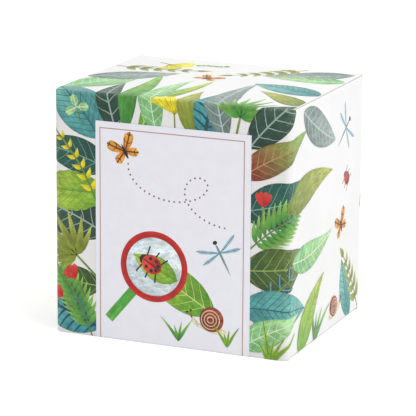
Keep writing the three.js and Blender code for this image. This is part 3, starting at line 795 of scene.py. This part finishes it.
def snail(at, size, hand):
    """A snail that creeps along the blank, facing right for hand 1 and left for hand -1."""
    def place(out, up, start=at):
        return (start[0] + hand * size * out, start[1] + size * up)
    leaf(place(-0.62, 0.10), 90 - hand * 90, size * 1.35, size * 0.26, CREAM, hand * 24, lance, 0)
    neck = place(0.42, 0.16)
    leaf(neck, 90 - hand * 38, size * 0.42, size * 0.22, CREAM, 0, drop, 1)
    eye = place(0.24, 0.30, neck)
    for lean in (12, 44):
        stroke(eye, 90 - hand * lean, size * 0.26, size * 0.035, BROWN, 0, 2)
        disc(ahead(eye, 90 - hand * lean, size * 0.27), size * 0.04, BLACK, points=8, layer=3)
    middle = place(-0.05, 0.48)
    disc(middle, size * 0.44, RUST, points=28, layer=3)
    for radius in (0.33, 0.22, 0.11):
        hoop(place(0.04, -0.02, middle), size * radius, size * 0.035, CREAM, 28, 4)


def caterpillar(at, angle, size):
    last = CATERPILLAR_JOINTS - 1
    for index in range(CATERPILLAR_JOINTS):
        s, v = ahead(at, angle, index / last * size)
        v += sin(pi * (index / last) * 2) * size * 0.05
        girth = size * (0.12 if index == last else 0.105)
        disc((s, v), girth, LIME if index % 2 else SPRING, points=14, layer=index % 2)
    disc((s + 0.3, v + 0.4), size * 0.025, BLACK, points=8, layer=2)


# What grows where, from the lowest motif to the highest

FOLIAGE = [
    # Out from behind the label, round its sides and over the top crease
    (leaf, (-31, 84), 124, 42, 20, TEAL_FINE, 18),
    (leaf, (-28, 72), 158, 38, 15, DEEP, 20, lance),
    (leaf, (-28, 44), 152, 42, 20, DARK, 16),
    (leaf, (-28, 62), 186, 36, 16, SPRING, -16, toothed),
    (leaf, (-31, 22), 178, 36, 13, MOSS, -18, lance),
    (leaf, (-31, 4), 156, 40, 17, TEAL, 14),
    (palm, (-33, 26), 138, 25, OLIVE),
    (sprig, (-33, 58), 112, 34, YELLOW, 24, 6, 6, 2.6),
    (fern, (-35, 0), 108, 34, 26),
    (blossom, (-38, 16), 112, 6.5),
    (blossom, (-43, 10), 128, 5.5),
    (clover, (-40, 91), 108, 5.5),
    (leaf, (-24, 88), 108, 40, 11, DARK, -18, lance),
    (leaf, (-20, 88), 84, 66, 9, GRASS, 22, lance),
    (leaf, (-14, 88), 62, 62, 8, LIME, 28, lance),
    (leaf, (-6, 88), 104, 56, 11, PALE, -28, lance),
    (fan, (2, 91), 92, 12),
    (leaf, (12, 88), 112, 36, 10, OLIVE, -26, lance),
    (leaf, (14, 86), 76, 46, 15, TEAL, 16),
    (leaf, (24, 88), 106, 60, 12, GREY, -26, lance),
    (palm, (28, 88), 78, 22, GRASS),
    (leaf, (34, 86), 52, 36, 15, DARK, -16),
    (leaf, (31, 74), 36, 42, 12, RUST_GREEN, -22, lance),
    (leaf, (30, 60), 10, 40, 18, DEEP, 16),
    (fern, (34, 44), 46, 38, -26),
    (leaf, (31, 36), 2, 38, 18, MOSS, 18),
    (sprig, (36, 12), 62, 38, DEEP, -26, 6, 9, 4.0),
    (leaf, (30, 20), 6, 38, 16, TEAL_FINE, -18),
    (leaf, (32, 4), 34, 32, 12, PALE, -18, lance),
    (blossom, (39, 54), 74, 6.5),
    (tuft, (44, -2), SPRING, (50, 66, 82, 98, 114), 20),
    # The right wall
    (leaf, (64, 100), -34, 42, 15, GREY, 16),
    (leaf, (50, 62), 22, 50, 13, OLIVE, -28, lance),
    (leaf, (54, 40), -8, 46, 12, PALE, 28, lance),
    (leaf, (62, 0), 56, 40, 13, SPRING, -24, lance),
    (tuft, (80, 0), GRASS, (44, 62, 80, 100), 24),
    (leaf, (122, 0), 118, 30, 12, TEAL_FINE, -16),
    (sprig, (132, 2), 116, 32, OLIVE, 18, 5, 9, 4.0),
    (ladybird, (116, 62), 140, 6.5),
    (dragonfly, (114, 84), 34, 19),
    (snail, (103, 5), 10, 1),
    (butterfly, (110, 43), 24, 8.5),
    # The lid
    (leaf, (-52, TOP + 6), 52, 44, 18, PALE, 18),
    (leaf, (-52, TOP + 30), 24, 40, 16, GREY, 16),
    (sprig, (-50, TOP + 56), -6, 36, OLIVE, 22),
    (leaf, (50, TOP + 78), 214, 40, 16, GREY, -16),
    (leaf, (52, TOP + 60), 176, 34, 13, PALE, 18, lance),
    (sprig, (28, TOP + 80), 232, 34, OLIVE, -18),
    (leaf, (52, TOP + 30), 152, 36, 15, TEAL_FINE, 14),
    (leaf, (52, TOP + 8), 130, 34, 11, OLIVE, 20, lance),
    (fan, (-36, TOP + 70), -24, 11),
    (butterfly, (-4, TOP + 46), -20, 8),
    (caterpillar, (-18, TOP + 70), 14, 12),
    # The left wall
    (leaf, (-58, 2), 128, 46, 19, TEAL, 14),
    (leaf, (-70, 0), 104, 40, 17, DARK, 18),
    (leaf, (-60, 40), 158, 40, 17, LIME, 16, lance),
    (leaf, (-62, 98), 214, 40, 16, DEEP, -16),
    (fern, (-84, 0), 92, 40, 22),
    (tuft, (-100, 0), SPRING, (56, 74, 90, 108, 124), 30),
    (leaf, (-118, 0), 70, 42, 17, TEAL_FINE, -16),
    (leaf, (-130, 4), 96, 44, 17, DARK, -18),
    (sprig, (-110, 0), 84, 42, OLIVE, -20, 6),
    (leaf, (-128, 100), -52, 38, 15, GREY, -16),
    (fan, (-92, 6), 84, 12),
    (blossom, (-76, 26), 84, 6.5),
    (blossom, (-122, 30), 104, 6.0),
    (dragonfly, (-92, 78), 150, 19),
    (caterpillar, (-104, 52), 12, 12),
]


def back_foliage():
    """Sprays up both sides of the back, turned to its middle, with grass between them."""
    middle = S_BACK + FLAT_X
    sprays = []
    for offset, hand, lean in ((-46, 1, 0), (46, -1, 180)):
        s = middle + offset
        sprays += [
            (leaf, (s, 0), lean + hand * 62, 46, 19, DARK, -hand * 16),
            (leaf, (s - hand * 6, 22), lean + hand * 40, 40, 18, TEAL, hand * 16),
            (fern, (s + hand * 4, 2), lean + hand * 44, 42, hand * 20),
            (leaf, (s - hand * 8, 46), lean + hand * 26, 34, 14, LIME, hand * 12, lance),
            (sprig, (s - hand * 4, 60), lean + hand * 52, 36, OLIVE, hand * 18),
            (blossom, (s + hand * 10, 26), 90 - hand * 20, 6.5),
            (leaf, (s - hand * 4, 96), lean - hand * 30, 34, 15, TEAL_FINE, hand * 14),
            (leaf, (s + hand * 8, 100), lean - hand * 58, 30, 13, PALE, hand * 16),
        ]
    return sprays + [
        (tuft, (middle - 14, 0), GRASS, (52, 68, 84, 100, 118), 30),
        (tuft, (middle + 16, 0), SPRING, (60, 78, 96, 114, 130), 28),
        (fan, (middle + 2, 4), 92, 13),
        (snail, (middle - 4, 40), 12, -1),
        (butterfly, (middle + 12, 72), 18, 9),
        (ladybird, (middle - 16, 66), 60, 6.5),
    ]


def label_panel():
    across = spaced(LABEL_LEFT, LABEL_RIGHT, LABEL_COLUMNS)
    up = spaced(FRONT.bottom, LABEL_TOP, LABEL_ROWS)
    rows = [[(s, v, 0.0, 0.0, 1.0) for s in across] for v in up]
    add_patch(rows, PAPER)


def keyline():
    low = FRONT.bottom
    for s in (KEYLINE_LEFT, KEYLINE_RIGHT):
        stroke((s, low), 90, KEYLINE_TOP - low + KEYLINE_WIDTH / 2, KEYLINE_WIDTH, KEYLINE)
    start = (KEYLINE_LEFT + KEYLINE_WIDTH / 2, KEYLINE_TOP)
    stroke(start, 0, KEYLINE_RIGHT - KEYLINE_LEFT - KEYLINE_WIDTH, KEYLINE_WIDTH, KEYLINE)


def flight_point(t):
    around = 2 * pi * FLIGHT_TURNS * t
    s = FLIGHT_START[0] + FLIGHT_RUN[0] * t - FLIGHT_SWING[0] * sin(around)
    return (s, FLIGHT_START[1] + FLIGHT_RUN[1] * t - FLIGHT_SWING[1] * cos(around))


def flight_path():
    """A line of even dots that loops once on its way up to the left."""
    since_dot = DOT_SPACING
    last = flight_point(0)
    for t in spaced(0, FLIGHT_SHARE, FLIGHT_STEPS)[:-1]:
        here = flight_point(t)
        since_dot += dist(here, last)
        last = here
        if since_dot >= DOT_SPACING:
            disc(here, DOT_RADIUS, BROWN, points=8)
            since_dot = 0.0


def hand_lens():
    """A hand lens with a leaf under its glass."""
    stroke(ahead(LENS, -130, LENS_RADIUS), -130, 18, 4.2, HANDLE)
    disc(LENS, LENS_RADIUS - 0.4, GLASS, points=48, layer=1)
    leaf((LENS[0] + 10.5, LENS[1] - 5), 156, 22, 10.5, SPRING, -4, oval, 2)
    hoop(LENS, LENS_RADIUS, 2.6, HOOP, 56, 3)


LABEL = [
    (label_panel,),
    (keyline,),
    (flight_path,),
    (butterfly, (-20, 80), 28, 8.5),
    (leaf, (20, 16), 152, 44, 17, LIME, -10),
    (hand_lens,),
    (ladybird, (LENS[0] - 1, LENS[1] + 0.8), 150, 9),
    (snail, (18, 8), 12, -1),
    (tuft, (4, 3), GRASS, (62, 82, 104, 124), 13, 1.8),
    (tuft, (25.5, 3), SPRING, (64, 84, 102, 120), 11, 1.8),
    (dragonfly, (22, 42), 118, 17),
]


# Folding the drawing onto the board

def area_of(face):
    return sum(a[0] * b[1] - b[0] * a[1] for a, b in zip(face, face[1:] + face[:1])) / 2


def split_face(face, side):
    """The two parts of a convex face, where side(corner) is below 0 and above 0."""
    low, high = [], []
    for here, there in zip(face, face[1:] + face[:1]):
        first, second = side(here), side(there)
        if first <= TOUCH:
            low.append(here)
        if first >= -TOUCH:
            high.append(here)
        if min(first, second) < -TOUCH and max(first, second) > TOUCH:
            share = first / (first - second)
            point = tuple(a + (b - a) * share for a, b in zip(here, there))
            low.append(point)
            high.append(point)
    return [part if len(part) > 2 and abs(area_of(part)) > SPECK else [] for part in (low, high)]


def split_faces(faces, axis, cut):
    """Cuts convex faces along one line of the blank."""
    parts = []
    for face in faces:
        values = [corner[axis] for corner in face]
        if min(values) < cut - TOUCH and max(values) > cut + TOUCH:
            parts += [part for part in split_face(face, lambda corner: corner[axis] - cut) if part]
        else:
            parts.append(face)
    return parts


def round_corner(face):
    """What is left of a face within the lid's rounded front corner, on either hand."""
    middle = LID_NOTCH - GAP
    reach = LID_CORNER_RADIUS * cos(FACET_ANGLE / 2)
    for facet in range(FACETS):
        angle = (facet + 0.5) * FACET_ANGLE

        def outside(corner):
            across, down = abs(corner[0]) - FLAT_X, middle - corner[1]
            return across * cos(angle) + down * sin(angle) - reach
        face = split_face(face, outside)[0]
    return face


def home_of(face):
    """The piece that carries a face of the drawing, and the wall it lies on."""
    s, v = (sum(corner[axis] for corner in face) / len(face) for axis in (0, 1))
    if abs(s) <= S_RIGHT and v > TOP:
        if abs(s) > LID_HALF_WIDTH or v > LID_END:
            return None, None
        in_corner = v < LID_NOTCH and abs(s) > FLAT_X
        return ("corner" if in_corner else "crease" if v < LID_START else "lid"), None
    for wall in WALLS:
        if wall.s0 <= s <= wall.s1 and wall.section.bottom <= v <= wall.section.top:
            return wall.name, wall
    return None, None


def add_shell(sheet, homed, patch, height):
    """Adds one patch's faces on a piece as a thin closed shell."""
    corners = {}
    shell = []
    for face, wall in homed:
        area = area_of(face)
        if abs(area) < SPECK:
            continue
        loop = []
        for corner in face if area > 0 else face[::-1]:
            key = (wall and wall.s0, round(corner[0], WELD_DIGITS), round(corner[1], WELD_DIGITS))
            index = corners.setdefault(key, (len(corners), corner, wall))[0]
            if loop[-1:] != [index]:
                loop.append(index)
        if loop[0] == loop[-1]:
            loop.pop()
        if len(set(loop)) == len(loop) > 2:
            shell.append(loop)
    if not shell:
        return
    first, count = len(sheet["places"]), len(corners)
    look = patch.ink
    veining = (look.pitch, look.slope, look.line)
    turn = rect(1, -patch.angle)
    flat = []
    for level in (height, height - INK_THICKNESS):
        for _, (s, v, *within), wall in corners.values():
            place = wall_point(wall, s, v, level) if wall else lid_point(s, v, level)
            sheet["places"].append([value * MM for value in place])
            share = smoothstep(within[0] / patch.length)
            tint = [a + (b - a) * share for a, b in zip(look.base, look.tip)]
            finish = (look.plain, wear_at(wall, s, v), 0.0)
            for name, values in zip(INK_FACTS, (tint, look.vein, within, veining, finish)):
                sheet[name].extend(values)
            turned = complex(s, v) * turn
            flat.append((turned.real, turned.imag))
    left, foot = (min(values) for values in zip(*flat))
    sheet["flats"].append([(x - left, y - foot) for x, y in flat])
    below = first + count
    for loop in shell:
        sheet["faces"].append([first + index for index in loop])
        sheet["faces"].append([below + index for index in reversed(loop)])
    edges = dict.fromkeys(edge for loop in shell for edge in zip(loop, loop[1:] + loop[:1]))
    for a, b in edges:
        if (b, a) not in edges:
            sheet["faces"].append([first + b, first + a, below + a, below + b])


def cells_of(patch):
    """The cells of the blank that a patch covers, from its corners and the middles of its faces."""
    cells = set()
    for row, above in zip(patch.rows, patch.rows[1:] + patch.rows[-1:]):
        for here, there in zip(row, above[1:] + above[-1:]):
            for s, v in (here[:2], ((here[0] + there[0]) / 2, (here[1] + there[1]) / 2)):
                cells.add((int(s // CELL), int(v // CELL)))
    return cells


def levelled_patches():
    """Each patch, and how many layers up it lies: each motif just above all that it covers."""
    tops = {}
    for motif in motifs:
        covered = [cells_of(patch) for patch in motif]
        ground = max(tops.get(cell, 0) for cells in covered for cell in cells)
        for patch, cells in zip(motif, covered):
            level = ground + 1 + patch.layer
            yield patch, level
            for cell in cells:
                tops[cell] = max(level, tops.get(cell, 0))


def fold_print():
    """Folds all patches onto the carton. A sheet holds the lists that one printed piece is made from."""
    sheets = defaultdict(lambda: defaultdict(list))
    cuts = blank_cuts()
    for patch, level in levelled_patches():
        faces = [
            [row[column], row[column + 1], above[column + 1], above[column]]
            for row, above in zip(patch.rows, patch.rows[1:])
            for column in range(len(row) - 1)
        ]
        for axis, lines in enumerate(cuts):
            values = [corner[axis] for row in patch.rows for corner in row]
            for line in lines:
                if min(values) < line < max(values):
                    faces = split_faces(faces, axis, line)
        homed = defaultdict(list)
        for face in faces:
            home, wall = home_of(face)
            if home == "corner":
                home, face = "lid", round_corner(face)
            if home and face:
                homed[home].append((face, wall))
        for name, owned in homed.items():
            add_shell(sheets[name], owned, patch, level * INK_STEP)
    return sheets


def pack_atlas(flats):
    """Lays each shell in a place of its own on a square map, in rows of like height."""
    boxes = [[max(values) + ATLAS_MARGIN for values in zip(*flat)] for flat in flats]
    order = sorted(range(len(boxes)), key=lambda index: -boxes[index][1])
    size = sqrt(sum(width * height for width, height in boxes)) * ATLAS_SLACK
    while True:
        spots = {}
        x = y = row_height = 0.0
        for index in order:
            width, height = boxes[index]
            if x + width > size:
                x, y, row_height = 0.0, y + row_height, 0.0
            spots[index] = (x, y)
            x += width
            row_height = max(row_height, height)
        if y + row_height <= size and max(width for width, _ in boxes) < size:
            break
        size *= ATLAS_GROWTH
    places = []
    for index, flat in enumerate(flats):
        left, foot = spots[index]
        places += [((left + x) / size, (foot + y) / size) for x, y in flat]
    return places


def print_object(name, sheet, material):
    made = add_mesh(name, sheet["places"], sheet["faces"], material)
    mesh = made.data
    for fact, kind in INK_FACTS.items():
        layer = mesh.attributes.new(fact, "FLOAT_" + kind, "POINT")
        layer.data.foreach_set(kind.lower(), sheet[fact])
    at = pack_atlas(sheet["flats"])
    uv = mesh.uv_layers.new(name="OFBake")
    uv.uv.foreach_set("vector", [number for loop in mesh.loops for number in at[loop.vertex_index]])
    return made


def add_print():
    for draw, *rest in FOLIAGE + back_foliage() + LABEL:
        motifs.append([])
        draw(*rest)
    material = ink_material()
    for name, sheet in fold_print().items():
        made = print_object("print_" + name, sheet, material)
        if name == "crease":
            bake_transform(made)
        else:
            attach(made, "lid" if name == "lid" else "carton")


# Board pieces and the viewer

def smooth_folds(node):
    """Joins the mesh's split corners and smooths its folds, keeping flat faces flat."""
    mesh = node.data
    mesh.shade_smooth()
    for name in ("custom_normal", "sharp_edge"):
        if name in mesh.attributes:
            mesh.attributes.remove(mesh.attributes[name])
    for kind, settings in SMOOTHING.items():
        adjust(node.modifiers.new(kind, kind), settings)


def wall_out(place):
    """The way out of the carton at a place on its walls: straight away from the core."""
    nearest = [clamp(value / MM, *limits) for value, limits in zip(place, CORE)]
    return (place - Vector(nearest) * MM).normalized()


def dress_board(name, materials, out_at, limit):
    """Gives a board's printed face, plain face and cut edges their materials, by the way each face turns."""
    mesh = nodes[name].data
    mesh.materials.clear()
    for material in materials:
        mesh.materials.append(material)
    for face in mesh.polygons:
        facing = face.normal.dot(out_at(face.center))
        face.material_index = 0 if facing > limit else 1 if facing < -limit else 2


def crease_strip(name, start, way, along, half, material):
    """A short strip of board in the gap between two boards hinged on a crease.

    It crosses the gap from start, at mid-board, by way, and reaches half each way along the fold."""
    start, way, along = Vector(start), Vector(way), Vector(along)
    end = start + way * GAP
    across = way.cross(along) * STRIP_HALF_THICKNESS
    first, last = start - way * STRIP_LAP, end + way * STRIP_LAP
    places = []
    for t in spaced(0, 1, STRIP_STEPS):
        for side, level in SQUARE:
            places.append((first.lerp(last, t) + along * half * side + across * level) * MM)
    tip = 4 * STRIP_STEPS
    faces = [(0, 1, 2, 3), (tip + 3, tip + 2, tip + 1, tip)]
    for ring in range(0, tip, 4):
        for index in range(4):
            a, b = ring + index, ring + (index + 1) % 4
            faces.append((a, a + 4, b + 4, b))
    made = add_mesh(name, places, faces, material)
    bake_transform(made)


def dress_carton():
    printed = board_material("coated_board", (241, 239, 238), (237, 235, 234), (233, 230, 228), 0.40, 0.02)
    plain = board_material("plain_board", (238, 236, 231), (234, 231, 226), (216, 210, 200), 0.72, 0.05)
    edge = board_material("cut_edge", (241, 239, 236), (236, 233, 228), (224, 218, 208), 0.85, 0.06)
    materials = (printed, plain, edge)
    for name in ("front_panel", "right_panel", "back_panel", "left_panel", "glue_flap"):
        dress_board(name, materials, wall_out, WALL_FACING)
    for names, out in (
        (("bottom_front_flap", "bottom_back_flap", "bottom_left_flap", "bottom_right_flap"), (0, 0, -1)),
        (("dust_flap_left", "dust_flap_right"), (0, 0, 1)),
        (("lid_tuck",), (0, cos(TUCK_LEAN), -sin(TUCK_LEAN))),
        (("lid_panel",), LID_OUT),
    ):
        for name in names:
            dress_board(name, materials, lambda place: Vector(out).normalized(), FLAP_FACING)

    start = (0, LID_AXIS_Y, HEIGHT - BOARD / 2)
    half = FLAT_X - LID_STRIP_INSET
    crease_strip("crease_lid", start, (0, 1, 0), (1, 0, 0), half, printed)
    start = (0, LID_BACK - BOARD / 2, HEIGHT - CREASE_RADIUS)
    way = (0, -sin(TUCK_LEAN), -cos(TUCK_LEAN))
    crease_strip("crease_tuck", start, way, (1, 0, 0), TUCK_HALF_WIDTH, printed)
    middle = (DUST_FLAP_BACK + DUST_FLAP_FRONT) / 2
    half = (DUST_FLAP_BACK - DUST_FLAP_FRONT) / 2
    for side, hand in (("right", 1), ("left", -1)):
        flap = "dust_" + side
        start = (hand * (HALF_WIDTH - CREASE_RADIUS), middle, INNER_TOP - BOARD / 2)
        crease_strip("crease_" + flap, start, (-hand, 0, 0), (0, 1, 0), half, printed)


def dress_viewer():
    card = board_material("cradle_card", (214, 200, 174), (202, 186, 158), (160, 138, 104), 0.85, 0.07)
    lens = clear_material("lens_plastic", (0.97, 0.99, 0.99, 1), 0.01)
    for name, material in {
        "cradle": card,
        "jar": clear_material("clear_plastic", (0.93, 0.97, 0.97, 1), 0.03),
        "grid_disc": plastic_material("white_plastic", (238, 238, 236), (226, 227, 226), 0.42, 0.0),
        "jar_lid": plastic_material("red_plastic", (208, 36, 30), (192, 24, 22), 0.30, 0.35),
        "lid_lens": lens,
        "flip_ring": plastic_material("green_plastic", (70, 166, 44), (54, 148, 34), 0.30, 0.35),
        "flip_lens": lens,
        "hinge_pin": steel_material(),
    }.items():
        nodes[name].data.materials.clear()
        nodes[name].data.materials.append(material)


set_camera()
set_light()
set_floor()
dress_carton()
dress_viewer()
for node in nodes.values():
    smooth_folds(node)
add_print()
